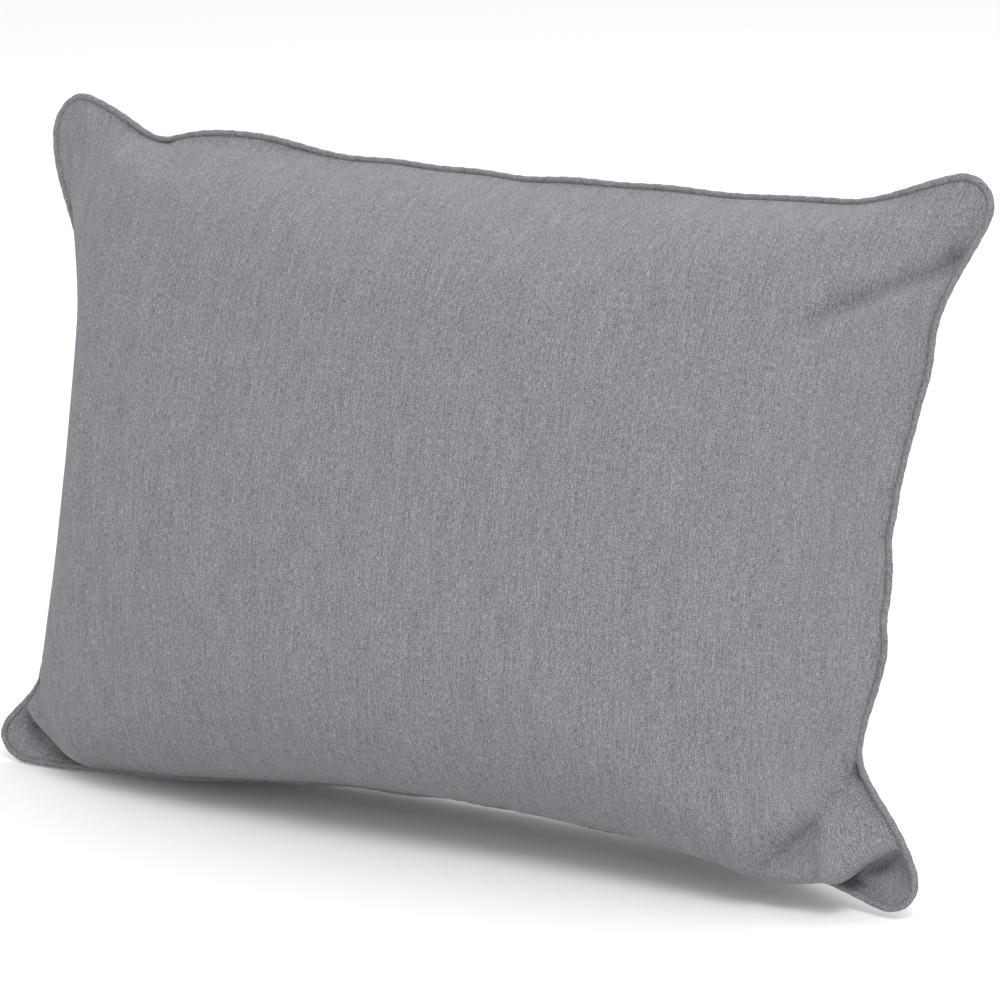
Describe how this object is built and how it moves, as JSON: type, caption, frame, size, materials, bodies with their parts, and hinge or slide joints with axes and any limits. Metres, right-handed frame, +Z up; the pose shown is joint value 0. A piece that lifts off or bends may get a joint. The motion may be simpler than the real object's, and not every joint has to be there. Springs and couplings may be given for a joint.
{
  "type": "camp pillow",
  "caption": "Plump rectangular fabric pillow with four rounded ears and a corded welt round its edge, standing on one long edge; zipped across the back.",
  "frame": {"origin": "middle of the footprint, on the surface that the pillow stands on", "axes": "+X across the pillow along its zip, -Y out of its front, +Z up; the seam plane leans back 12.5 degrees"},
  "size_m": [0.59, 0.1928, 0.3809],
  "materials": {
    "cover_fabric": "matte",
    "piping_fabric": "matte",
    "cord_cotton": "matte",
    "casing_fabric": "matte",
    "fibre_filling": "matte",
    "zip_tape": "matte",
    "zip_coil": "satin",
    "zip_metal": "satin"
  },
  "bodies": {
    "pillow": {"cover_front_panel": "cover_fabric", "cover_back_upper_panel": "cover_fabric", "cover_back_lower_panel": "cover_fabric", "piping_sleeve": "piping_fabric", "piping_cord": "cord_cotton", "casing_front_panel": "casing_fabric", "casing_back_panel": "casing_fabric", "filling": "fibre_filling", "zip_tape_upper": "zip_tape", "zip_tape_lower": "zip_tape", "zip_coil_upper": "zip_coil", "zip_coil_lower": "zip_coil", "zip_top_stops": "zip_metal", "zip_bottom_stop": "zip_metal"},
    "zip_slider": {"zip_slider_body": "zip_metal", "zip_slider_crown": "zip_metal"},
    "zip_pull": {"zip_pull_tab": "zip_metal"}
  },
  "joints": [
    {"name": "zip_slide", "type": "slide", "parent": "pillow", "child": "zip_slider", "axis": [-1, 0, 0], "range_m": [0, 0.25]},
    {"name": "pull_swing", "type": "hinge", "parent": "zip_slider", "child": "zip_pull", "pos_m": [0.125, 0.04585, 0.04478], "axis": [0, -0.4122, -0.9111], "range_deg": [0, 170]}
  ]
}
